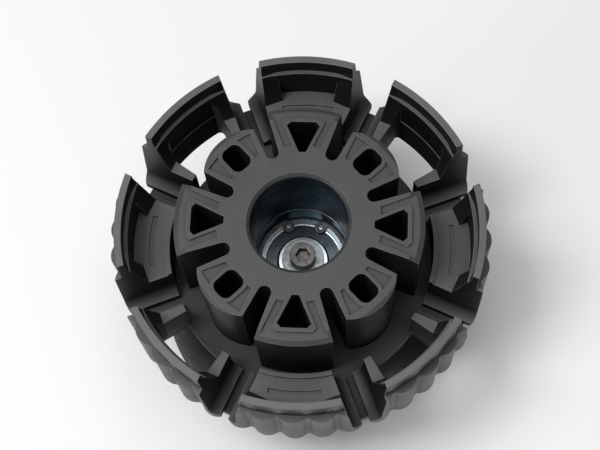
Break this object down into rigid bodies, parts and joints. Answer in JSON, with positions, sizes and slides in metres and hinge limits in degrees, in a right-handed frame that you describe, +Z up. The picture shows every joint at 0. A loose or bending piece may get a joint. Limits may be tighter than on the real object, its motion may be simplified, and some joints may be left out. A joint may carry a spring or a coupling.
{
  "type": "banding wheel",
  "caption": "Hand-turned banding wheel with a ribbed hub, notched grip-lobed rim segments and a lined bore, on ball bearings over a cast foot.",
  "frame": {"origin": "centre of the foot, on the surface that the rubber feet stand on", "axes": "+Z up along the spindle, +Y through the middle of rim segment 1, +X through the middle of rim segment 3"},
  "size_m": [0.12, 0.12, 0.08],
  "materials": {
    "hub_plastic": "moulded, fine satin grain",
    "rim_plastic": "moulded, fine satin grain",
    "foot_enamel": "black stove enamel over a sand casting",
    "liner_steel": "bored and polished inside",
    "bearing_steel": "ground",
    "shield_steel": "pressed sheet",
    "cage_brass": "machined",
    "spindle_steel": "turned",
    "spring_steel": "phosphated",
    "screw_steel": "zinc plated",
    "foot_rubber": "moulded"
  },
  "bodies": {
    "foot": {"cast_foot": "foot_enamel", "spindle": "spindle_steel", "spindle_washer": "screw_steel", "spindle_screw": "spring_steel", "upper_inner_race": "bearing_steel", "lower_inner_race": "bearing_steel", "inner_spacer": "spindle_steel", "anchor_washer": "screw_steel", "anchor_nut": "screw_steel", "rubber_feet": "foot_rubber", "feet_screws": "screw_steel"},
    "wheel": {"wheel_hub": "hub_plastic", "rim_segment_1": "rim_plastic", "rim_segment_2": "rim_plastic", "rim_segment_3": "rim_plastic", "rim_segment_4": "rim_plastic", "rim_segment_5": "rim_plastic", "rim_segment_6": "rim_plastic", "rim_segment_7": "rim_plastic", "rim_segment_8": "rim_plastic", "segment_screws": "screw_steel", "hub_liner": "liner_steel", "bore_circlip": "spring_steel", "upper_outer_race": "bearing_steel", "lower_outer_race": "bearing_steel", "upper_shields": "shield_steel", "lower_shields": "shield_steel", "outer_spacer": "spindle_steel"},
    "upper_ball_ring": {"upper_balls": "bearing_steel", "upper_cage": "cage_brass"},
    "lower_ball_ring": {"lower_balls": "bearing_steel", "lower_cage": "cage_brass"}
  },
  "joints": [
    {"name": "wheel_spin", "type": "hinge", "parent": "foot", "child": "wheel", "pos_m": [0, 0, 0.041], "axis": [0, 0, 1], "continuous": true},
    {"name": "upper_cage_spin", "type": "hinge", "parent": "foot", "child": "upper_ball_ring", "pos_m": [0, 0, 0.0365], "axis": [0, 0, 1], "continuous": true},
    {"name": "lower_cage_spin", "type": "hinge", "parent": "foot", "child": "lower_ball_ring", "pos_m": [0, 0, 0.017], "axis": [0, 0, 1], "continuous": true}
  ],
  "couplings": [
    {"joint": "upper_cage_spin", "follows": "wheel_spin", "ratio": 0.619},
    {"joint": "lower_cage_spin", "follows": "wheel_spin", "ratio": 0.619}
  ]
}
